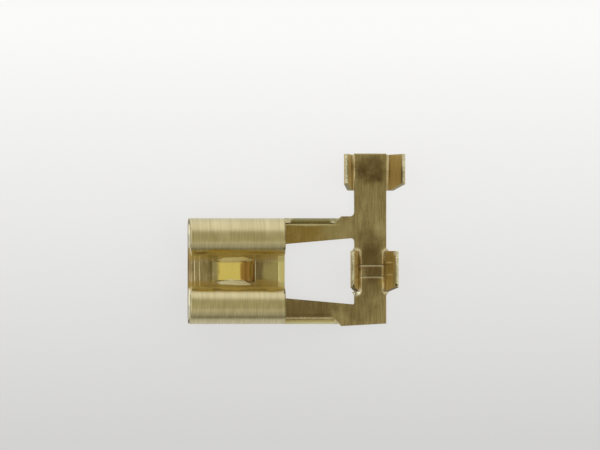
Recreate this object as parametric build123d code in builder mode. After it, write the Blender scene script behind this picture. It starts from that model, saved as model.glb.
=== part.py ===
from build123d import *
from math import acos, cos, degrees, radians, sin
import os

# Right-angle spade receptacle, stamped and folded from one strip of brass. Millimetres, +Z up.
# The origin is where the male tab enters: mouth plane, centreline, top face of the floor.
# +X runs from the mouth into the receptacle, +Y along the crimp strip toward the cable.

# Sheet
sheet_t = 0.32

# Receptacle: a floor with both sides rolled over the tab
body_length = 6.9
body_width = 7.5
bend_r = 0.15
roll_setback = 0.13
roll_height = 2.55
roll_width = 2.66
shoulder_r = 1.3
nose_r = 1.25
grip_height = 0.7
nose_setback = 0.2
nose_taper = 0.6
mouth_round = 0.1

# Floor of the receptacle: lead-in at the mouth, coined band behind it, bevel at the rear
lead_in_length = 0.3
lead_in_depth = 0.1
band_start = 0.42
band_width = 0.45
band_depth = 0.05
band_slope = 0.09
rear_bevel_length = 0.48
rear_bevel_depth = 0.12

# Latch shoulder: a wedge pressed down out of the floor, its long ramp facing the mouth
latch_start = 1.6
latch_length = 3.17
latch_width = 2.04
latch_front_run = 0.6
latch_front_depth = 0.22
latch_depth = 0.74
latch_back_run = 0.42
latch_side_run = 0.39
latch_front_r = 1.5
latch_heel_r = 0.38
latch_corner_r = 0.25
latch_wall = 0.26

# Arms: two flat bridges with an upright lip on their outer side
arm_inner_at_body = 1.92
arm_inner_at_strip = 2.36
arm_outer = 3.9
lip_height = 0.9
lip_end = 10.25
lip_mitre = 0.7
window_body_r = 0.15
window_cable_r = 0.22
window_foot_r = 0.1
arm_cable_r = 0.3

# Crimp strip
strip_start = 11.86
strip_width = 2.29
strip_top = 8.37
strip_foot_inner = 3.85
strip_foot_outer = 3.72

# Insulation barrel
ins_top = 8.28
ins_root = 5.73
ins_tip_rise = 0.47
ins_flat = 2.16
ins_height = 3.2
ins_angle = 79.5

# Wire barrel, a little off the middle of the strip
wire_offset = 0.09
wire_top = 1.43
wire_root = -1.45
wire_tip_rise = 0.35
wire_flat = 1.34
wire_height = 2.3
wire_angle = 76
wire_run_in = 0.26
wire_run_out = 0.3
wire_edge_angle = 52

# Both barrels: inner radius of the bends, and wing tips coined thin from outside
crimp_r = 0.3
tip_t = 0.2
tip_bevel = 0.3

# Serration grooves across the wire barrel, each with a gentle wall that faces the cable
groove_first = 0.43
groove_pitch = 0.82
groove_count = 2
groove_depth = 0.06
groove_wall = 0.13
groove_back = 0.06
groove_rise = 1.5

# Worked out from the sizes above
roll_length = body_length - roll_setback
floor_half = body_width / 2 - bend_r - sheet_t
wall_rise = roll_height - shoulder_r - bend_r - sheet_t
roll_top_run = roll_width - shoulder_r - nose_r
nose_centre_z = roll_height - sheet_t - nose_r
nose_angle = degrees(acos((grip_height - nose_centre_z) / nose_r))
nose_y = body_width / 2 - roll_width
lip_reach = lip_end + lip_mitre
strip_end = strip_start + strip_width
strip_x = strip_start + strip_width / 2
wire_x = strip_x + wire_offset
cradle_foot = wire_root - wire_run_out
cradle_length = wire_top + wire_run_in - cradle_foot
above = roll_height + ins_height


def crimp_plane(x, y):
    """Section plane across the crimp strip at (x, y): local x is +X, local y is +Z."""
    return Plane(origin=(x, y, 0), x_dir=(1, 0, 0), z_dir=(0, -1, 0))


def roll_face(depth):
    """One face of the sheet in the receptacle's section, at this depth under its outer face."""
    floor_line = Line((0, depth - sheet_t), (floor_half, depth - sheet_t))
    corner = JernArc(floor_line @ 1, (1, 0), bend_r + sheet_t - depth, 90)
    side_wall = Line(corner @ 1, corner @ 1 + Vector(0, wall_rise))
    shoulder = JernArc(side_wall @ 1, (0, 1), shoulder_r - depth, 90)
    roll_top = Line(shoulder @ 1, shoulder @ 1 - Vector(roll_top_run, 0))
    nose = JernArc(roll_top @ 1, (-1, 0), nose_r - depth, nose_angle)
    return nose @ 1


def lip_face(depth):
    """One face of the sheet in the arm's section, at this depth under its outer face."""
    floor_line = Line((arm_inner_at_strip, depth - sheet_t), (floor_half, depth - sheet_t))
    corner = JernArc(floor_line @ 1, (1, 0), bend_r + sheet_t - depth, 90)
    upright = Line(corner @ 1, (body_width / 2 - depth, lip_height))
    return upright @ 1


def wing_face(flat, angle, height, depth, short=0):
    """One face of the sheet in a crimp barrel's section, at this depth outside its inner face.

    It ends where the inner face reaches the height, or a little short of that.
    """
    leg_length = (height - crimp_r * (1 - cos(radians(angle)))) / sin(radians(angle)) - short
    base = Line((0, -depth), (flat / 2, -depth))
    bend = JernArc(base @ 1, (1, 0), crimp_r + depth, angle)
    leg = Line(bend @ 1, bend @ 1 + (bend % 1) * leg_length)
    return leg @ 1


def barrel_section(x, y, flat, angle, height):
    """Open U of a crimp barrel, in its section plane at (x, y), with its thinned wing tips."""
    across = Vector(sin(radians(angle)), -cos(radians(angle)))
    with BuildSketch(crimp_plane(x, y)) as section:
        with BuildLine():
            inner_tip = wing_face(flat, angle, height, 0)
            outer_end = wing_face(flat, angle, height, sheet_t, tip_bevel)
            Polyline(inner_tip, inner_tip + across * tip_t, outer_end)
            Line((0, 0), (0, -sheet_t))
        make_face()
        mirror(about=Plane.YZ)
    return section.sketch


def cradle_face(y, edge_run, angle):
    """Half of the strip's section beside the wire barrel, its edge turned up by some degrees."""
    with BuildLine(crimp_plane(wire_x, y)) as outline:
        if angle > 0:
            inner_r = edge_run / radians(angle)
            inner = JernArc((wire_flat / 2, 0), (1, 0), inner_r, angle)
            outer = JernArc((wire_flat / 2, -sheet_t), (1, 0), inner_r + sheet_t, angle)
        else:
            inner = Line((wire_flat / 2, 0), (wire_flat / 2 + edge_run, 0))
            outer = Line((wire_flat / 2, -sheet_t), (wire_flat / 2 + edge_run, -sheet_t))
        Line(inner @ 0, outer @ 0)
        Line(inner @ 1, outer @ 1)
    return make_face(outline.edges())


def cradle(flat_y, turned_y, edge_run):
    """One edge of the strip, that rises from flat to the bend of the wire barrel."""
    return loft([cradle_face(flat_y, edge_run, 0), cradle_face(turned_y, edge_run, wire_edge_angle)])


def groove(y):
    """Half of a serration groove: a V drawn along the floor, the bend and up the wing."""
    with BuildLine(crimp_plane(wire_x, y)) as path:
        wing_face(wire_flat, wire_angle, groove_rise, 0)
    with BuildSketch(Plane(origin=(wire_x, y, 0), x_dir=(0, 1, 0), z_dir=(1, 0, 0))) as profile:
        with BuildLine():
            Polyline(
                (-groove_wall, groove_depth),
                (-groove_wall, 0),
                (0, -groove_depth),
                (groove_back, 0),
                (groove_back, groove_depth),
                close=True,
            )
        make_face()
    return sweep(profile.sketch, path=path.wires()[0])


def at_corner(x, y):
    """Test for the upright edges that stand at (x, y) or at its mirror image (x, -y)."""
    return lambda edge: abs(edge.center().X - x) < sheet_t / 8 and abs(abs(edge.center().Y) - y) < sheet_t / 8


def latch_wedge(wall):
    """Latch shoulder: the pocket itself at wall 0, and its outer skin at the sheet's wall."""
    start = latch_start - wall
    back = latch_start + latch_length + wall
    half_top = latch_width / 2 + wall
    ramp_start = latch_start + latch_front_run
    ramp_end = latch_start + latch_length - latch_back_run
    slope = (latch_depth - latch_front_depth) / (ramp_end - ramp_start)
    depth_at_start = latch_front_depth + wall - slope * (ramp_start - start)
    past = 1.25
    half_deep = half_top - past * latch_side_run
    deep_length = (back - start) * (1 + (past * slope) ** 2) ** 0.5
    deep = Plane(
        origin=(start, 0, -past * depth_at_start), x_dir=(1, 0, -past * slope), z_dir=(past * slope, 0, 1)
    )
    with BuildPart() as wedge:
        # Lengthwise: a short drop, the long ramp, a rounded heel and the steep back
        with BuildSketch(Plane.XZ) as ramp:
            with BuildLine():
                Polyline(
                    (start, 0),
                    (ramp_start, -latch_front_depth - wall),
                    (ramp_end, -latch_depth - wall),
                    (back, 0),
                    close=True,
                )
            make_face()
            fillet(ramp.vertices().sort_by(Axis.Y)[1], latch_front_r)
            fillet(ramp.vertices().sort_by(Axis.Y)[0], latch_heel_r + wall)
        extrude(amount=half_top, both=True)

        # Crosswise: side walls that lean in by the same run all along the ramp, drawn past its face
        with BuildSketch():
            with Locations((start, 0)):
                Rectangle(back - start, 2 * half_top, align=(Align.MIN, Align.CENTER))
        with BuildSketch(deep):
            Rectangle(deep_length, 2 * half_deep, align=(Align.MIN, Align.CENTER))
        loft(ruled=True, mode=Mode.INTERSECT)

        # In plan: rounded corners at the back
        with BuildSketch() as rim:
            Rectangle(back, 2 * half_top, align=(Align.MIN, Align.CENTER))
            fillet(rim.vertices().group_by(Axis.X)[-1], latch_corner_r + wall)
        extrude(amount=-above, mode=Mode.INTERSECT)
    return wedge.part


latch_pocket = latch_wedge(0)
latch_skin = latch_wedge(latch_wall)

# Edges of the strip beside the wire barrel: on its right, and on its left as mirror images
run_right = strip_end - wire_x - wire_flat / 2
run_left = wire_x - wire_flat / 2 - strip_start
cradles = []
for flat_y, turned_y in ((wire_top + wire_run_in, wire_top), (cradle_foot, wire_root)):
    cradles.append(cradle(flat_y, turned_y, run_right))
    cradles.append(mirror(cradle(flat_y, turned_y, run_left), about=Plane.YZ.offset(wire_x)))

with BuildPart() as terminal:
    # Receptacle, one half: floor, corner bend, side wall, shoulder and nose that faces the tab
    with BuildSketch(Plane.YZ):
        with BuildLine():
            Line(roll_face(0), roll_face(sheet_t))
            Line((0, -sheet_t), (0, 0))
        make_face()
    extrude(amount=roll_length)

    # The mouth is rounded all along the outer face of the sheet
    fillet(terminal.edges().group_by(Axis.X)[0].sort_by(Axis.Y)[-1], mouth_round)

    # The nose recedes at the mouth, so that the tab finds its way in
    with BuildSketch(Plane.XY.offset(grip_height - sheet_t)):
        with BuildLine():
            Polyline((0, nose_y), (nose_setback, nose_y), (0, nose_y + nose_taper), close=True)
        make_face()
    extrude(amount=above, mode=Mode.SUBTRACT)

    # Lip of the arm, which carries on the side wall at a lower height, mitred at its end
    with BuildSketch(Plane.YZ.offset(roll_length)):
        with BuildLine():
            Line(lip_face(0), lip_face(sheet_t))
            Line((arm_inner_at_strip, -sheet_t), (arm_inner_at_strip, 0))
        make_face()
    extrude(amount=lip_reach - roll_length)
    with BuildSketch(Plane.XY):
        with BuildLine():
            Polyline(
                (lip_end, 0),
                (lip_end, floor_half),
                (lip_reach, arm_outer),
                (lip_reach, 0),
                close=True,
            )
        make_face()
    extrude(amount=above, mode=Mode.SUBTRACT)
    mirror(about=Plane.XZ)

    # Crimp barrels: the insulation barrel at the end of the strip, the wire barrel by the arms
    extrude(barrel_section(strip_x, ins_top, ins_flat, ins_angle, ins_height), amount=ins_top - ins_root)
    extrude(barrel_section(wire_x, wire_top, wire_flat, wire_angle, wire_height), amount=wire_top - wire_root)

    # The wings narrow from their root to their tip on the side away from the cable
    with BuildSketch(Plane.YZ.offset(strip_start - strip_width)):
        with BuildLine():
            Polyline(
                (ins_root, 0),
                (ins_root + ins_tip_rise, ins_height),
                (ins_root, ins_height + sheet_t),
                close=True,
            )
        make_face()
        with BuildLine():
            Polyline(
                (wire_root, 0),
                (wire_root + wire_tip_rise, wire_height),
                (wire_root, wire_height + sheet_t),
                close=True,
            )
        make_face()
    extrude(amount=3 * strip_width, mode=Mode.SUBTRACT)

    # The strip's edges rise into the wire barrel and fall back past it
    add(cradles)

    # Flat sheet in plan: floor, arms and crimp strip, with the window between the arms
    with BuildSketch(Plane.XY.offset(-sheet_t)):
        with BuildLine():
            Polyline(
                (0, -floor_half),
                (lip_end, -floor_half),
                (lip_reach, -arm_outer),
                (strip_start, -strip_foot_inner),
                (strip_end, -strip_foot_outer),
                (strip_end, strip_top),
                (strip_start, strip_top),
                (strip_start, arm_outer),
                (lip_reach, arm_outer),
                (lip_end, floor_half),
                (0, floor_half),
                close=True,
            )
        make_face()
        with BuildLine():
            Polyline(
                (body_length, arm_inner_at_body),
                (strip_start, arm_inner_at_strip),
                (strip_start, -arm_inner_at_strip),
                (body_length, -arm_inner_at_body),
                close=True,
            )
        make_face(mode=Mode.SUBTRACT)
        # Beside the wire barrel only its flat floor is left, because the edges are turned up there
        with Locations((wire_x, cradle_foot + cradle_length / 2)):
            Rectangle(2 * strip_width, cradle_length, mode=Mode.SUBTRACT)
            Rectangle(wire_flat, cradle_length)
    extrude(amount=sheet_t)

    # Window corners: soft at the receptacle and on the cable side of the strip, sharper at its foot
    upright = terminal.edges().filter_by(Axis.Z)
    fillet(upright.filter_by(at_corner(body_length, arm_inner_at_body)), window_body_r)
    at_strip = upright.filter_by(at_corner(strip_start, arm_inner_at_strip)).sort_by(Axis.Y)
    fillet(at_strip[-1], window_cable_r)
    fillet(at_strip[0], window_foot_r)
    fillet(upright.filter_by(at_corner(strip_start, arm_outer)), arm_cable_r)

    # Latch shoulder
    add(latch_skin)
    add(latch_pocket, mode=Mode.SUBTRACT)

    # Serration grooves that bite into the bared wire
    for number in range(groove_count):
        half_groove = groove(groove_first - number * groove_pitch)
        add([half_groove, mirror(half_groove, about=Plane.YZ.offset(wire_x))], mode=Mode.SUBTRACT)

    # Coined floor: lead-in across the mouth, a shallow band behind it, a bevel at the rear edge
    with BuildSketch(Plane.XZ):
        with BuildLine():
            Polyline((0, 0), (0, -lead_in_depth), (lead_in_length, 0), close=True)
        make_face()
    extrude(amount=floor_half, both=True, mode=Mode.SUBTRACT)
    with BuildSketch(Plane.XZ):
        with BuildLine():
            Polyline(
                (band_start, 0),
                (band_start + band_slope, -band_depth),
                (band_start + band_width - band_slope, -band_depth),
                (band_start + band_width, 0),
                close=True,
            )
        make_face()
    extrude(amount=nose_y, both=True, mode=Mode.SUBTRACT)
    with BuildSketch(Plane.XZ):
        with BuildLine():
            Polyline(
                (body_length, 0),
                (body_length, -rear_bevel_depth),
                (body_length - rear_bevel_length, 0),
                close=True,
            )
        make_face()
    extrude(amount=arm_inner_at_body - window_body_r, both=True, mode=Mode.SUBTRACT)

terminal.part.label = "spade_terminal"
os.makedirs("parts", exist_ok=True)
export_step(terminal.part, "parts/spade_terminal.step")
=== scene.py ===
from math import atan, pi, radians

import bpy
from mathutils import Matrix, Vector


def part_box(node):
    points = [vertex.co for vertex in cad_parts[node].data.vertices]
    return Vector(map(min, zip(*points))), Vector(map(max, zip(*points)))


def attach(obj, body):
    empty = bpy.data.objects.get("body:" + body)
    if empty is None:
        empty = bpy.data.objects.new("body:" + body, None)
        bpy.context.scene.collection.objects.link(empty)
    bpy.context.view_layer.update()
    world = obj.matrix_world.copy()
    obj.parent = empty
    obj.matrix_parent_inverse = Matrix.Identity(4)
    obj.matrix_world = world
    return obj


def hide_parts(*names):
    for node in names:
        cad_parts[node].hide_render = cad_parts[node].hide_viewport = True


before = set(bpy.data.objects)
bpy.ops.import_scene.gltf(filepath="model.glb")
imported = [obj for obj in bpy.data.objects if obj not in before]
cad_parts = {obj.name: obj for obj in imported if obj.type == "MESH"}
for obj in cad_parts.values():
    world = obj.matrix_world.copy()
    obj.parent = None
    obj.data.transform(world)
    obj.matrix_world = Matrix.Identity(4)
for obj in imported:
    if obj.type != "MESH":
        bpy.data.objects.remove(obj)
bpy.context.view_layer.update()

# Camera: a long lens nearly straight above the part, a little toward its mouth.
# One millimetre of the part covers about 14 pixels of the 600 pixel wide picture.
mm = 0.001
picture_width_px = 600
px_per_m = 14080
aim = Vector((7.98 * mm, 3.28 * mm, 0.0))
camera_lean = Vector((-0.0965, -0.01, 1.0))
camera_distance = 0.5
nearest_seen = 0.01
sensor_width = 36

camera_data = bpy.data.cameras.new("camera")
camera_data.sensor_width = sensor_width
camera_data.lens = sensor_width * camera_distance * px_per_m / picture_width_px
camera_data.clip_start = nearest_seen
camera = bpy.data.objects.new("camera", camera_data)
bpy.context.collection.objects.link(camera)
view_back = camera_lean.normalized()
view_right = Vector((0, 1, 0)).cross(view_back).normalized()
view_up = view_back.cross(view_right)
camera.location = aim + view_back * camera_distance
camera.rotation_euler = Matrix((view_right, view_up, view_back)).transposed().to_euler()
bpy.context.scene.camera = camera

# Terminal: one strip of half-hard brass sheet, blanked, coined and folded in a progressive die.
# The visible sheet is a copy of the solid, with its pocket rims, lips and strip edges rounded.
# Its faces keep the rolling mill's grain and some tarnish, with highlights, reflections and shade painted
# into their colour at places, and its sheared edges are bare.
sheet_t = 0.32 * mm
floor_rear = 6.9 * mm
roll_rear = 6.77 * mm
lip_top = 0.9 * mm
nose_end = 0.7 * mm
strip_start = 11.86 * mm
strip_from = strip_start - 0.5 * mm
wings_from = strip_start - 1 * mm
wire_tip, ins_tip = 2.3 * mm, 3.2 * mm
pocket_front, pocket_rear, pocket_half = 1.2 * mm, 5.1 * mm, 1.35 * mm
hair = 0.01 * mm

bpy.ops.object.select_all(action="DESELECT")
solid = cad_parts["spade_terminal"]
terminal = solid.copy()
terminal.data = solid.data.copy()
terminal.name = "folded_terminal"
bpy.context.collection.objects.link(terminal)
terminal.data.materials.clear()
for name in ("rolled_brass", "sheared_brass", "torn_brass"):
    terminal.data.materials.append(bpy.data.materials.new(name))
rolled, sheared, torn = terminal.data.materials[:]
rolled_slot, sheared_slot, torn_slot = range(3)
terminal.select_set(True)
bpy.context.view_layer.objects.active = terminal

bpy.ops.object.mode_set(mode="EDIT")
bpy.ops.mesh.select_all(action="SELECT")
bpy.ops.mesh.remove_doubles(threshold=0.001 * mm)
bpy.ops.mesh.customdata_custom_splitnormals_clear()
bpy.ops.mesh.dissolve_limited(angle_limit=radians(0.5))
bpy.ops.mesh.normals_make_consistent(inside=False)
bpy.ops.mesh.select_all(action="DESELECT")
bpy.ops.object.mode_set(mode="OBJECT")


def ends_of(edge):
    """Places of the two ends of an edge of the terminal."""
    return [terminal.data.vertices[i].co for i in edge.vertices]


def round_selected(width, segments):
    """Bevel the selected edges, and leave none selected for the next bevel."""
    bpy.ops.object.mode_set(mode="EDIT")
    bpy.ops.mesh.select_mode(type="EDGE")
    bpy.ops.mesh.bevel(offset=width, segments=segments, affect="EDGES")
    bpy.ops.mesh.select_all(action="DESELECT")
    bpy.ops.object.mode_set(mode="OBJECT")


# The long rims of the latch pocket are drawn, not cut, so they are rounded wide
rim_front, rim_rear, rim_half = 1.65 * mm, 4.72 * mm, 1.0 * mm
rim_play, rim_shortest = 0.1 * mm, 1 * mm
rim_round = 0.13 * mm
for edge in terminal.data.edges:
    start, end = ends_of(edge)
    middle = (start + end) / 2
    on_top = max(abs(start.z), abs(end.z)) < hair
    beside = abs(abs(middle.y) - rim_half) < rim_play and rim_front < middle.x < rim_rear
    edge.select = on_top and beside and abs(start.x - end.x) > rim_shortest
round_selected(rim_round, segments=3)

# A face is told by its place and by how squarely its normal looks along an axis
facing, nose_facing, wing_facing, half_facing, upright = 0.9, 0.85, 0.8, 0.5, 0.2
side_fold_half, wire_half, ins_start = 3.4 * mm, 1.5 * mm, 5.7 * mm
level_play, rear_play = 0.05 * mm, 0.1 * mm
nose_low, nose_high = nose_end - 0.02 * mm, nose_end + 0.1 * mm
mitre_from = roll_rear + 1 * mm
tip_foot, end_foot = 0.1 * mm, 0.3 * mm
lowest_tip = wire_tip - 0.2 * mm


def is_sheared(face):
    """True for a face that the blanking punch has cut clean."""
    place, normal = face.center, face.normal
    past_arms = place.x > wings_from
    in_barrel = abs(place.y) < wire_half or place.y > ins_start
    in_pocket = pocket_front < place.x < pocket_rear and abs(place.y) < pocket_half
    side_fold = abs(place.y) > side_fold_half and place.x < wings_from and abs(normal.y) > half_facing
    wing_fold = past_arms and in_barrel and abs(normal.x) > half_facing
    bent = in_pocket or side_fold or wing_fold
    outline = -sheet_t < place.z < 0 and abs(normal.z) < upright and not bent
    rear = normal.x > facing and roll_rear - rear_play < place.x < floor_rear + rear_play
    nose = normal.z < -nose_facing and nose_low < place.z < nose_high and place.x < roll_rear
    lip = normal.z > facing and abs(place.z - lip_top) < level_play and place.x > roll_rear
    on_arm = mitre_from < place.x < wings_from
    mitre = normal.x > half_facing and abs(normal.z) < upright and on_arm
    on_wing = past_arms and place.z > tip_foot
    wing_tip = on_wing and normal.z > wing_facing and place.z > lowest_tip
    return outline or rear or nose or lip or mitre or wing_tip


def is_torn(face):
    """True for the slanting end of a wing away from the cable, and for the cut edge at the mouth."""
    place, normal = face.center, face.normal
    wing_end = place.x > wings_from and place.z > end_foot and normal.y < -wing_facing
    mouth = normal.x < -facing and place.x < level_play
    return wing_end or mouth


for face in terminal.data.polygons:
    face.material_index = torn_slot if is_torn(face) else sheared_slot if is_sheared(face) else rolled_slot


def faces_at_edges(mesh):
    """The faces on each side of every edge of a mesh, by the edge's key."""
    found = {}
    for face in mesh.polygons:
        for key in face.edge_keys:
            found.setdefault(key, []).append(face)
    return found


# The long edges of the lips and of the crimp strip are rubbed round by handling
edge_break = 0.03 * mm
square_angle = radians(80)
long_edge = 0.4 * mm
faces_of = faces_at_edges(terminal.data)
for edge in terminal.data.edges:
    sides = faces_of[edge.key]
    start, end = ends_of(edge)
    low, high = min(start.z, end.z), max(start.z, end.z)
    front = min(start.x, end.x)
    on_lip = lip_top - hair < low and high < lip_top + hair and front > roll_rear
    on_strip = high - low < hair and low < hair and front > strip_from
    square = len(sides) == 2 and sides[0].normal.angle(sides[1].normal) > square_angle
    edge.select = (on_lip or on_strip) and square and (start - end).length > long_edge
round_selected(edge_break, segments=2)

# Sharp edges get a bevel, which the mesh's shortest edges hold to a hair: it keeps the shading true
coined_share = 0.6
sharp_angle, coined_angle = radians(24), radians(7)
coined_front, coined_rear, coined_half = 0.2 * mm, 6.6 * mm, 1.85 * mm
coined_depth = 0.13 * mm
weights = terminal.data.attributes.new("bevel_weight_edge", "FLOAT", "EDGE")
faces_of = faces_at_edges(terminal.data)
for edge in terminal.data.edges:
    sides = faces_of[edge.key]
    if len(sides) != 2:
        continue
    turn = sides[0].normal.angle(sides[1].normal)
    start, end = ends_of(edge)
    middle = (start + end) / 2
    crosswise = abs(start.x - end.x) < hair
    on_floor = -coined_depth < middle.z < hair and abs(middle.y) < coined_half
    coined = crosswise and on_floor and coined_front < middle.x < coined_rear
    if turn > sharp_angle:
        weights.data[edge.index].value = 1.0
    elif turn > coined_angle and coined:
        weights.data[edge.index].value = coined_share

bevel = terminal.modifiers.new("edge_break", "BEVEL")
bevel.width = edge_break
bevel.segments = 2
bevel.limit_method = "WEIGHT"
bpy.ops.object.modifier_apply(modifier="edge_break")
bpy.ops.object.shade_smooth()
weighted = terminal.modifiers.new("weighted", "WEIGHTED_NORMAL")
weighted.keep_sharp = False
weighted.weight = 50
bpy.ops.object.modifier_apply(modifier="weighted")


def node(tree, kind, inputs=None, **settings):
    """New shader node of this kind, with its settings and the values of its named inputs."""
    made = tree.nodes.new(kind)
    for name, value in settings.items():
        setattr(made, name, value)
    for name, value in (inputs or {}).items():
        made.inputs[name].default_value = value
    return made


def place_in(tree, space="Object"):
    """Sockets "X", "Y" and "Z" of each point's place in one of the shader's spaces."""
    coordinates = node(tree, "ShaderNodeTexCoord")
    axes = node(tree, "ShaderNodeSeparateXYZ")
    tree.links.new(coordinates.outputs[space], axes.inputs[0])
    return axes.outputs


def calculate(tree, operation, *values):
    """Math node whose inputs are sockets or plain numbers, and its output socket."""
    made = node(tree, "ShaderNodeMath", operation=operation)
    for socket, value in zip(made.inputs, values):
        if isinstance(value, (int, float)):
            socket.default_value = value
        else:
            tree.links.new(value, socket)
    return made.outputs[0]


def smooth_step(tree, value, low, high, at_low=0.0, at_high=1.0):
    """Smooth change from at_low to at_high while a value goes from low to high."""
    limits = {"From Min": low, "From Max": high, "To Min": at_low, "To Max": at_high}
    made = node(tree, "ShaderNodeMapRange", limits, interpolation_type="SMOOTHSTEP")
    tree.links.new(value, made.inputs["Value"])
    return made.outputs["Result"]


def blend(tree, factor, first, second):
    """Mix of two colours, each a socket or a plain triple."""
    made = node(tree, "ShaderNodeMix", data_type="RGBA")
    tree.links.new(factor, made.inputs[0])
    for socket, value in ((made.inputs[6], first), (made.inputs[7], second)):
        if isinstance(value, tuple):
            socket.default_value = (*value, 1)
        else:
            tree.links.new(value, socket)
    return made.outputs[2]


def roughen(tree, height, depth):
    """Bump of this depth on the material's own shader, from a height socket."""
    bump = node(tree, "ShaderNodeBump", {"Strength": 1.0, "Distance": depth})
    tree.links.new(height, bump.inputs["Height"])
    tree.links.new(bump.outputs["Normal"], tree.nodes["Principled BSDF"].inputs["Normal"])


# The mill's grain runs along the sheet's Y: round the rolls, and up along the crimp wings
mill = bpy.data.node_groups.new("mill_grain", "ShaderNodeTree")
for name, side in (
    ("Across", "INPUT"),
    ("Along", "INPUT"),
    ("Lines", "OUTPUT"),
    ("Streaks", "OUTPUT"),
    ("Blotches", "OUTPUT"),
):
    mill.interface.new_socket(name=name, in_out=side, socket_type="NodeSocketFloat")
entry = node(mill, "NodeGroupInput")
result = node(mill, "NodeGroupOutput")
place = place_in(mill)
on_strip = calculate(mill, "GREATER_THAN", place["X"], strip_from)
off_strip = calculate(mill, "SUBTRACT", 1.0, on_strip)
across = calculate(mill, "MULTIPLY_ADD", place["Z"], on_strip, place["X"])
along = calculate(mill, "MULTIPLY_ADD", place["Z"], off_strip, place["Y"])
across = calculate(mill, "MULTIPLY", across, entry.outputs["Across"])
along = calculate(mill, "MULTIPLY", along, entry.outputs["Along"])
for output, across_share, along_share, detail in (("Lines", 1.0, 1.0, 3.0), ("Streaks", 0.22, 0.7, 2.0)):
    drawn = node(mill, "ShaderNodeCombineXYZ")
    mill.links.new(calculate(mill, "MULTIPLY", across, across_share), drawn.inputs["X"])
    mill.links.new(calculate(mill, "MULTIPLY", along, along_share), drawn.inputs["Y"])
    noise = node(mill, "ShaderNodeTexNoise", {"Scale": 1.0, "Detail": detail, "Roughness": 0.6})
    mill.links.new(drawn.outputs[0], noise.inputs["Vector"])
    mill.links.new(noise.outputs["Fac"], result.inputs[output])
coordinates = node(mill, "ShaderNodeTexCoord")
blotch = node(mill, "ShaderNodeTexNoise", {"Scale": 900.0, "Detail": 4.0, "Roughness": 0.65})
mill.links.new(coordinates.outputs["Object"], blotch.inputs["Vector"])
mill.links.new(blotch.outputs["Fac"], result.inputs["Blotches"])


def grain_of(tree, across, along):
    """The mill's grain in a material, with its cells per metre across and along the rolling."""
    return node(tree, "ShaderNodeGroup", {"Across": across, "Along": along}, node_tree=mill)


# Rolled face of the sheet
brass_light = (0.57, 0.465, 0.265)
brass_dark = (0.40, 0.315, 0.17)
strain_and_sheen_light = (0.73, 0.66, 0.405)
strain_and_sheen_dark = (0.61, 0.54, 0.32)
bounce_gold = (0.54, 0.43, 0.10)
gold_highlight = (0.92, 0.80, 0.38)
white_glint = (1.0, 0.97, 0.80)
pale_highlight = (1.0, 0.94, 0.64)
reflected_gold = (0.66, 0.49, 0.12)
brass_worn = (0.43, 0.385, 0.15)
pale_sheen = (0.62, 0.55, 0.27)
film_light = (0.72, 0.54, 0.19)
film_dark = (0.50, 0.34, 0.09)
brass_olive = (0.20, 0.165, 0.06)
straw_and_reflection = (0.42, 0.28, 0.06)
heel_shade = (0.38, 0.20, 0.025)
tarnish_and_shade = (0.18, 0.12, 0.05)
black_and_shade = (0.06, 0.04, 0.015)

rolled.use_nodes = True
tree = rolled.node_tree
shader = tree.nodes["Principled BSDF"]
place = place_in(tree)
grain = grain_of(tree, across=12000.0, along=700.0)
lines, streaks, blotches = (grain.outputs[name] for name in ("Lines", "Streaks", "Blotches"))
noise_mean = 0.5

# Light and dark lines of the mill over faint blotches
line_tone, streak_tone, blotch_tone = 0.6, 0.25, 0.15
tone_dark, tone_light = 0.40, 0.60
tone = calculate(tree, "MULTIPLY", blotches, blotch_tone)
tone = calculate(tree, "MULTIPLY_ADD", lines, line_tone, tone)
tone = calculate(tree, "MULTIPLY_ADD", streaks, streak_tone, tone)
tone = smooth_step(tree, tone, tone_dark, tone_light)
colour = blend(tree, tone, brass_dark, brass_light)
strain_and_sheen = blend(tree, tone, strain_and_sheen_dark, strain_and_sheen_light)
film = blend(tree, tone, film_dark, film_light)

# The wings are the least worn, under a film of straw colour that ends short of their tips
wire_end, ins_begin = 3 * mm, 4 * mm
strip_fade = strip_start - 1.2 * mm
wire_film, ins_film = wire_tip - 0.15 * mm, ins_tip - 0.15 * mm
film_fade, film_ragged = 0.08 * mm, 0.6 * mm
wing_foot, wing_full = 0.12 * mm, 0.3 * mm
on_strip = smooth_step(tree, place["X"], strip_fade, wings_from)
film_z = smooth_step(tree, place["Y"], wire_end, ins_begin, wire_film, ins_film)
chips = grain_of(tree, across=5000.0, along=3000.0).outputs["Lines"]
ragged = calculate(tree, "MULTIPLY", calculate(tree, "SUBTRACT", chips, noise_mean), film_ragged)
past_film = calculate(tree, "ADD", calculate(tree, "SUBTRACT", place["Z"], film_z), ragged)
on_tip = calculate(tree, "MULTIPLY", on_strip, smooth_step(tree, past_film, 0.0, film_fade))
on_wing = calculate(tree, "MULTIPLY", on_strip, smooth_step(tree, place["Z"], wing_foot, wing_full))
colour = blend(tree, on_wing, colour, film)

# Bends are strained and painted paler, which also stands in for their paler highlights: the rolled sides
# all over, elsewhere the foot of a fold and the tips
roll_pale, bend_pale, chip_dark = 0.9, 0.8, 0.7
body_fade = floor_rear + 0.4 * mm
roll_foot, roll_full = 0.2 * mm, 0.9 * mm
bend_full = 0.08 * mm
chip_from, chip_full = 0.56, 0.64
on_body = smooth_step(tree, place["X"], floor_rear, body_fade, 1.0, 0.0)
on_roll = smooth_step(tree, place["Z"], roll_foot, roll_full, 0.0, roll_pale)
rolled_side = calculate(tree, "MULTIPLY", on_body, on_roll)
past_floor = smooth_step(tree, place["Z"], hair, bend_full, 0.0, bend_pale)
under_wing = smooth_step(tree, place["Z"], wing_foot, wing_full, 1.0, 0.0)
in_bend = calculate(tree, "MULTIPLY", past_floor, under_wing)
pale = calculate(tree, "MAXIMUM", rolled_side, in_bend)
colour = blend(tree, calculate(tree, "MAXIMUM", pale, on_tip), colour, strain_and_sheen)
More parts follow.
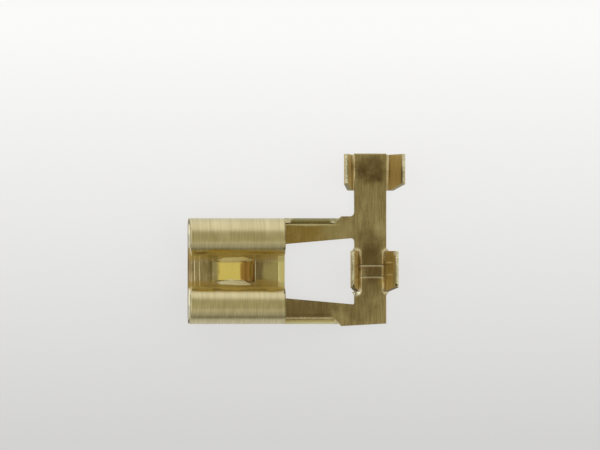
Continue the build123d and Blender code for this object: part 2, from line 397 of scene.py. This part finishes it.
chipped = smooth_step(tree, chips, chip_from, chip_full, 0.0, chip_dark)
colour = blend(tree, calculate(tree, "MULTIPLY", chipped, on_tip), colour, tarnish_and_shade)

raggedness = 3.0


def smudge(centre, reach, softness):
    """Mask of a patch about a place in mm, on the material at hand, its border broken by blotches."""
    square = calculate(tree, "MULTIPLY", calculate(tree, "SUBTRACT", blotches, noise_mean), raggedness)
    for axis, middle, half in zip("XYZ", centre, reach):
        off = calculate(tree, "SUBTRACT", place[axis], middle * mm)
        share = calculate(tree, "DIVIDE", off, half * mm)
        square = calculate(tree, "MULTIPLY_ADD", share, share, square)
    return smooth_step(tree, square, 1.0 - softness, 1.0 + softness, 1.0, 0.0)


def marked(colour, centre, reach, softness, strength, mark_colour):
    """The colour with one mark laid over it."""
    mask = calculate(tree, "MULTIPLY", smudge(centre, reach, softness), strength)
    return blend(tree, mask, colour, mark_colour)


# Each mark has its centre and reach in mm, the softness of its border, its strength and its colour
# The two painted glints inside the mouth, one under each roll
upper_glint = ((0.0, 2.15, 0.0), (0.3, 0.5, 0.6), 0.5)
lower_glint = ((0.0, -3.0, 0.0), (0.3, 0.55, 0.6), 0.5)
for mark in (
    # Noses of the two rolls, painted gold for the reflection of the floor in them
    ((3.4, 1.1, 1.0), (6.0, 0.45, 1.3), 0.4, 0.9, reflected_gold),
    ((3.4, -1.1, 1.0), (6.0, 0.45, 1.3), 0.4, 0.9, reflected_gold),
    # Mouth: dull floor, painted glints and pale painted reflections under the rolls, and a dark edge and
    # corner
    ((0.0, 0.0, 0.0), (0.3, 1.5, 0.4), 0.9, 0.6, tarnish_and_shade),
    (*upper_glint, 1.0, white_glint),
    (*lower_glint, 1.0, white_glint),
    ((0.0, 3.05, 0.0), (0.3, 0.6, 0.6), 0.5, 0.7, white_glint),
    ((0.0, -1.9, 0.0), (0.3, 0.7, 0.6), 0.5, 0.7, white_glint),
    ((0.0, 0.0, 0.0), (0.05, 3.7, 0.5), 0.5, 0.6, black_and_shade),
    ((0.2, 1.62, 0.3), (0.1, 0.1, 0.6), 0.5, 0.9, black_and_shade),
    # Rear edges of the rolls: painted shade along their burrs, and a dark spot at each nose
    ((6.74, 2.8, 2.1), (0.06, 1.0, 0.7), 0.8, 0.7, tarnish_and_shade),
    ((6.74, -2.2, 2.1), (0.06, 1.0, 0.7), 0.8, 0.6, tarnish_and_shade),
    ((6.7, 1.6, 1.4), (0.12, 0.12, 0.7), 0.6, 0.9, black_and_shade),
    ((6.72, -1.5, 1.4), (0.1, 0.14, 0.7), 0.6, 0.8, black_and_shade),
    # Latch pocket from its ramp to its rear rim, and the floor behind and beside it
    # Ramp painted a deeper gold, for the light bounced inside the pocket
    ((3.1, 0.0, -0.5), (1.75, 1.3, 0.5), 0.3, 0.9, bounce_gold),
    ((1.82, 0.0, 0.0), (0.4, 1.5, 0.5), 0.9, 0.9, brass_olive),
    # Heel of the pocket painted in dark orange shade
    ((4.15, 0.0, -0.5), (0.36, 1.5, 0.8), 0.7, 0.95, heel_shade),
    ((5.0, 0.0, 0.0), (0.35, 1.5, 0.4), 0.9, 0.6, tarnish_and_shade),
    # Painted highlight along the rear rim, and a painted sheen on the floor behind it
    ((4.78, 0.0, 0.0), (0.05, 0.95, 0.1), 0.5, 0.7, white_glint),
    ((5.85, 0.0, 0.0), (0.5, 0.7, 0.4), 0.9, 0.8, pale_sheen),
    ((6.3, 0.0, 0.0), (0.3, 1.5, 0.4), 0.9, 0.9, pale_sheen),
    # Floor beside the noses painted orange, for the shade and the reflected light under the rolls
    ((3.4, 0.95, 0.0), (6.0, 0.24, 0.15), 0.6, 0.5, straw_and_reflection),
    ((3.4, -0.95, 0.0), (6.0, 0.32, 0.15), 0.7, 0.7, straw_and_reflection),
    ((6.75, 0.0, 0.0), (0.32, 1.8, 0.4), 0.6, 0.9, brass_worn),
    # Arms: straw on the upper one, tarnish on the lower one, painted highlights at the foot of both lips
    # and a painted shadow line inside the lower one
    ((7.6, 2.9, 0.0), (2.6, 1.6, 0.6), 1.0, 0.7, straw_and_reflection),
    ((10.6, 2.9, 0.0), (1.0, 0.7, 0.5), 1.0, 0.5, strain_and_sheen_dark),
    ((8.6, 3.3, 0.02), (1.9, 0.1, 0.12), 0.5, 0.9, strain_and_sheen_light),
    ((8.6, -3.36, 0.06), (1.9, 0.14, 0.16), 0.5, 0.9, strain_and_sheen_light),
    ((8.6, -3.12, 0.0), (1.9, 0.12, 0.1), 0.6, 0.4, tarnish_and_shade),
    ((8.2, -2.7, 0.0), (2.4, 1.0, 0.4), 1.0, 0.6, tarnish_and_shade),
    # Crimp strip: before the wire barrel, between the two barrels, and the wire barrel's floor, painted in
    # shade between its wings
    ((12.2, -2.6, 0.0), (1.0, 0.9, 0.5), 1.0, 0.35, tarnish_and_shade),
    ((13.7, 2.9, 0.0), (0.4, 0.6, 0.5), 1.0, 0.5, strain_and_sheen_light),
    ((13.0, 2.0, 0.0), (0.9, 0.8, 0.5), 1.0, 0.4, tarnish_and_shade),
    ((13.1, 0.7, 0.0), (0.9, 1.4, 0.3), 0.8, 0.8, tarnish_and_shade),
    ((13.1, -1.1, 0.0), (0.8, 0.8, 0.3), 1.0, 0.4, tarnish_and_shade),
    # Wire barrel: painted light and shade for the creased inner skin and tip of its rear wing, a painted
    # highlight at the foot of its front wing, and a black spot on each
    ((13.9, -0.9, 0.7), (0.45, 0.6, 0.7), 1.0, 0.7, film_light),
    ((14.1, 0.6, 1.2), (0.5, 0.8, 0.9), 1.0, 0.5, straw_and_reflection),
    ((14.15, 0.62, 1.1), (0.35, 0.06, 0.9), 0.6, 0.8, gold_highlight),
    ((14.15, -0.25, 1.1), (0.35, 0.07, 0.9), 0.6, 0.8, gold_highlight),
    ((14.5, 1.3, 2.15), (0.2, 0.2, 0.3), 0.8, 0.9, white_glint),
    ((14.48, -0.6, 2.1), (0.14, 0.6, 0.35), 0.6, 0.7, brass_worn),
    ((14.42, -0.5, 1.9), (0.05, 0.7, 0.14), 0.8, 0.6, black_and_shade),
    ((11.95, -1.45, 0.15), (0.35, 0.3, 0.4), 1.0, 0.7, white_glint),
    ((14.62, -0.99, 2.3), (0.08, 0.08, 0.3), 0.4, 1.0, black_and_shade),
    ((11.6, -1.09, 2.3), (0.08, 0.08, 0.3), 0.4, 1.0, black_and_shade),
    # Insulation barrel: pale end of the strip, painted shade of the burrs along the tips, tarnished floor
    ((13.0, 8.33, 0.0), (1.4, 0.05, 0.08), 0.5, 0.9, strain_and_sheen_light),
    ((11.1, 7.3, 3.1), (0.06, 1.0, 0.14), 0.8, 0.8, black_and_shade),
    ((14.9, 6.9, 3.05), (0.07, 0.8, 0.16), 0.8, 0.8, black_and_shade),
    ((13.0, 7.2, 0.0), (1.0, 0.85, 0.3), 1.0, 0.85, tarnish_and_shade),
    ((12.4, 7.0, 0.0), (0.4, 0.4, 0.3), 1.0, 0.35, black_and_shade),
    ((13.4, 6.7, 0.0), (0.35, 0.3, 0.3), 1.0, 0.35, black_and_shade),
):
    colour = marked(colour, *mark)

# The serration grooves are bare at their walls
groove_bare = 0.4
groove_top, groove_from = -0.01 * mm, -0.035 * mm
groove_low, groove_floor = -0.1 * mm, -0.2 * mm
under_top = smooth_step(tree, place["Z"], groove_from, groove_top, groove_bare, 0.0)
in_groove = calculate(tree, "MULTIPLY", under_top, smooth_step(tree, place["Z"], groove_floor, groove_low))
colour = blend(tree, calculate(tree, "MULTIPLY", in_groove, on_strip), colour, strain_and_sheen_light)

# Drawn and rubbed metal is matt: the pocket's sides, the noses and the floor beside them, the wings
wing_matt = 0.5
pocket_top, pocket_from = -0.01 * mm, -0.04 * mm
below_floor = smooth_step(tree, place["Z"], pocket_from, pocket_top, 1.0, 0.0)
matt = calculate(tree, "MULTIPLY", calculate(tree, "MAXIMUM", on_wing, on_tip), wing_matt)
# The pocket's walls are painted bright for their highlights, the one facing the cable side paler still
for side, mark_colour in ((1, gold_highlight), (-1, pale_highlight)):
    wall = smudge((3.4, 0.84 * side, -0.3), (1.3, 0.24, 0.6), 0.5)
    drawn = calculate(tree, "MULTIPLY", wall, below_floor)
    colour = blend(tree, drawn, colour, mark_colour)
    nose = smudge((3.4, 1.15 * side, 1.0), (6.0, 0.4, 0.8), 0.4)
    beside = smudge((3.4, 0.95 * side, 0.0), (6.0, 0.3, 0.3), 0.5)
    for mask, share in ((drawn, 0.95), (nose, 0.45), (beside, 0.4)):
        matt = calculate(tree, "MAXIMUM", calculate(tree, "MULTIPLY", mask, share), matt)
heel = smudge((4.25, 0.0, -0.5), (0.45, 1.0, 0.8), 0.5)
for mask, share in ((heel, 0.5), (smudge(*upper_glint), 0.8), (smudge(*lower_glint), 0.8)):
    matt = calculate(tree, "MAXIMUM", calculate(tree, "MULTIPLY", mask, share), matt)
tree.links.new(colour, shader.inputs["Base Color"])
tree.links.new(calculate(tree, "SUBTRACT", 1.0, matt), shader.inputs["Metallic"])

# The sheet's own roughness is raised by its streaks and blotches, and most by the matt metal
sheet_rough, streak_rough, blotch_rough = 0.15, 0.12, 0.1
matt_rough, roll_rough = 0.25, 0.05
rough = calculate(tree, "MULTIPLY_ADD", streaks, streak_rough, sheet_rough)
rough = calculate(tree, "MULTIPLY_ADD", blotches, blotch_rough, rough)
rough = calculate(tree, "MULTIPLY_ADD", matt, matt_rough, rough)
rough = calculate(tree, "MULTIPLY_ADD", rolled_side, roll_rough, rough)
tree.links.new(rough, shader.inputs["Roughness"])

# The grain stands out least on the crimp strip
line_relief, streak_relief, blotch_relief, strip_relief = 1.3, 0.6, 0.8, 0.3
grain_depth = 0.003 * mm
relief = calculate(tree, "MULTIPLY", streaks, streak_relief)
relief = calculate(tree, "MULTIPLY_ADD", lines, line_relief, relief)
relief = calculate(tree, "MULTIPLY_ADD", blotches, blotch_relief, relief)
relief = calculate(tree, "MULTIPLY", relief, smooth_step(tree, on_strip, 0.0, 1.0, 1.0, strip_relief))
roughen(tree, relief, grain_depth)

# Sheared edge: bare and paler, scored across by the punch
sheared_light = (0.93, 0.89, 0.68)
sheared_dark = (0.42, 0.36, 0.19)
upper_inner, upper_outer = (0.16, 0.125, 0.02), (0.37, 0.34, 0.18)
lower_inner, lower_outer = (0.46, 0.35, 0.11), (0.69, 0.65, 0.41)
tip_grey = (0.20, 0.19, 0.10)
score_tone, patch_tone = 0.6, 0.4
sheared_from, sheared_full = 0.41, 0.62
score_depth = 0.012 * mm

sheared.use_nodes = True
tree = sheared.node_tree
shader = tree.nodes["Principled BSDF"]
shader.inputs["Roughness"].default_value = 0.42
place = place_in(tree)
score = grain_of(tree, across=14000.0, along=12000.0)
scores, blotches = score.outputs["Lines"], score.outputs["Blotches"]
tone = calculate(tree, "MULTIPLY", blotches, patch_tone)
tone = calculate(tree, "MULTIPLY_ADD", scores, score_tone, tone)
colour = blend(tree, smooth_step(tree, tone, sheared_from, sheared_full), sheared_dark, sheared_light)

# The top of a lip is painted pale at its outer side and dark at the inner one, for the light and shade on
# the burr that the cut tore there, and the upper lip's top is painted in shade, darker than the lower
# one's
lip_ragged = 0.3 * mm
lip_inner, lip_outer = 3.62 * mm, 3.82 * mm
sheared_metal, lip_matt = 0.75, 0.35
outward = calculate(tree, "ABSOLUTE", place["Y"])
outward = calculate(tree, "MULTIPLY_ADD", scores, lip_ragged, outward)
outward = smooth_step(tree, outward, lip_inner, lip_outer)
matt = 0.0
for side, inner, outer in ((1, upper_inner, upper_outer), (-1, lower_inner, lower_outer)):
    on_lip = smudge((8.55, 3.6 * side, 0.9), (1.8, 0.5, 0.2), 0.2)
    colour = blend(tree, on_lip, colour, blend(tree, outward, inner, outer))
    matt = calculate(tree, "MULTIPLY_ADD", on_lip, lip_matt, matt)
tree.links.new(calculate(tree, "SUBTRACT", sheared_metal, matt), shader.inputs["Metallic"])

# The tips of the wings are rolled over by the cut along one side, painted grey there as the shade of that
# burr, and two corners have black spots
for mark in (
    ((11.4, 0.2, 2.3), (0.09, 1.6, 0.5), 0.3, 0.8, tip_grey),
    ((14.58, -0.2, 2.3), (0.06, 1.0, 0.3), 0.8, 0.8, tip_grey),
    ((11.08, 7.3, 3.2), (0.05, 1.1, 0.2), 0.8, 0.9, tip_grey),
    ((14.93, 6.9, 3.2), (0.05, 0.8, 0.2), 0.8, 0.9, tip_grey),
    ((14.62, -0.99, 2.3), (0.09, 0.09, 0.3), 0.4, 1.0, black_and_shade),
    ((11.6, -1.05, 2.3), (0.09, 0.09, 0.3), 0.4, 1.0, black_and_shade),
):
    colour = marked(colour, *mark)
tree.links.new(colour, shader.inputs["Base Color"])
roughen(tree, scores, score_depth)

# Torn metal on the wings' slanting ends and at the mouth: dark and matt, paler on the insulation barrel
torn_light = (0.26, 0.21, 0.10)
torn_dark = (0.12, 0.09, 0.04)
torn_pale = (0.50, 0.45, 0.24)
tear_dark, tear_light = 0.35, 0.65
cable_pale = 0.7
tear_depth = 0.008 * mm

torn.use_nodes = True
tree = torn.node_tree
shader = tree.nodes["Principled BSDF"]
shader.inputs["Metallic"].default_value = 0.3
shader.inputs["Roughness"].default_value = 0.6
place = place_in(tree)
tears = grain_of(tree, across=12000.0, along=12000.0).outputs["Lines"]
tone = smooth_step(tree, tears, tear_dark, tear_light)
toward_cable = smooth_step(tree, place["Y"], wire_end, ins_begin, 0.0, cable_pale)
colour = blend(tree, toward_cable, blend(tree, tone, torn_dark, torn_light), torn_pale)
tree.links.new(colour, shader.inputs["Base Color"])
roughen(tree, tears, tear_depth)

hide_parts("spade_terminal")
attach(terminal, "root")

# Floor: a pale table under the foot of the latch shoulder and the strip's far edge.
# It is painted, lighter toward the cable side, and keeps the terminal's soft shadow.
foot = Vector((4.1 * mm, 0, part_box("spade_terminal")[0][2]))
far_edge = Vector((14.15 * mm, 0, -sheet_t))
rest_slope = atan((far_edge.z - foot.z) / (far_edge.x - foot.x))
floor_size = 3.0
paint_grey = 0.8
shaded_share = 0.16
near_y, near_tone = -12 * mm, 0.66
far_y, far_tone = 17 * mm, 0.97

bpy.ops.object.select_all(action="DESELECT")
bpy.ops.mesh.primitive_plane_add(size=floor_size, location=foot, rotation=(0, -rest_slope, 0))
floor = bpy.context.object
floor.name = "floor"
bpy.ops.object.transform_apply(location=True, rotation=True, scale=True)

paint = bpy.data.materials.new("pale_table")
paint.use_nodes = True
tree = paint.node_tree
tree.nodes.remove(tree.nodes["Principled BSDF"])
place = place_in(tree)
tone = node(tree, "ShaderNodeMapRange", {
    "From Min": near_y,
    "From Max": far_y,
    "To Min": near_tone - shaded_share * paint_grey,
    "To Max": far_tone - shaded_share * paint_grey,
})
tree.links.new(place["Y"], tone.inputs["Value"])
matt = node(tree, "ShaderNodeBsdfDiffuse", {"Color": (paint_grey, paint_grey, paint_grey, 1)})
dimmed = node(tree, "ShaderNodeBsdfDiffuse", {"Color": (shaded_share, shaded_share, shaded_share, 1)})
glow = node(tree, "ShaderNodeEmission")
tree.links.new(tone.outputs["Result"], glow.inputs["Strength"])
lit = node(tree, "ShaderNodeAddShader")
tree.links.new(dimmed.outputs[0], lit.inputs[0])
tree.links.new(glow.outputs[0], lit.inputs[1])
seen = node(tree, "ShaderNodeLightPath")
direct = calculate(tree, "MAXIMUM", seen.outputs["Is Camera Ray"], seen.outputs["Is Glossy Ray"])
direct = calculate(tree, "MAXIMUM", direct, seen.outputs["Is Transmission Ray"])
either = node(tree, "ShaderNodeMixShader")
tree.links.new(direct, either.inputs[0])
tree.links.new(matt.outputs[0], either.inputs[1])
tree.links.new(lit.outputs[0], either.inputs[2])
tree.links.new(either.outputs[0], tree.nodes["Material Output"].inputs["Surface"])
floor.data.materials.append(paint)

# Studio: three large soft boxes and a bright window wall on the cable side light the bends.
# The dim room above is what the flat faces mirror, warm and darker than the lamps.
lamp_distance = 0.6
room_wall = (0.20, 0.19, 0.13)
room_ceiling = (0.40, 0.37, 0.225)
window_wall = (0.98, 0.96, 0.91)
ceiling_from, ceiling_full = 0.6, 0.98
window_from, window_full = 0.35, 0.8


def soft_box(name, toward, width, height, radiance):
    """Area lamp on the line toward a direction, facing the part, of an even brightness."""
    data = bpy.data.lights.new(name, "AREA")
    data.shape = "RECTANGLE"
    data.size = width
    data.size_y = height
    data.energy = radiance * pi * width * height
    lamp = bpy.data.objects.new(name, data)
    bpy.context.collection.objects.link(lamp)
    direction = Vector(toward).normalized()
    lamp.location = aim + direction * lamp_distance
    lamp.rotation_euler = direction.to_track_quat("Z", "Y").to_euler()


soft_box("right_side", toward=(1, 0, 0.73), width=0.8, height=0.78, radiance=0.80)
soft_box("left_side", toward=(-1, 0, 0.73), width=0.8, height=0.78, radiance=0.66)
soft_box("foot_side", toward=(0, -1, 1.0), width=1.0, height=0.5, radiance=0.25)

world = bpy.data.worlds.new("room")
bpy.context.scene.world = world
world.use_nodes = True
tree = world.node_tree
place = place_in(tree, "Generated")
room = blend(tree, smooth_step(tree, place["Z"], ceiling_from, ceiling_full), room_wall, room_ceiling)
toward_cable = smooth_step(tree, place["Y"], window_from, window_full)
tree.links.new(blend(tree, toward_cable, room, window_wall), tree.nodes["Background"].inputs["Color"])
bpy.context.scene.view_settings.view_transform = "Standard"
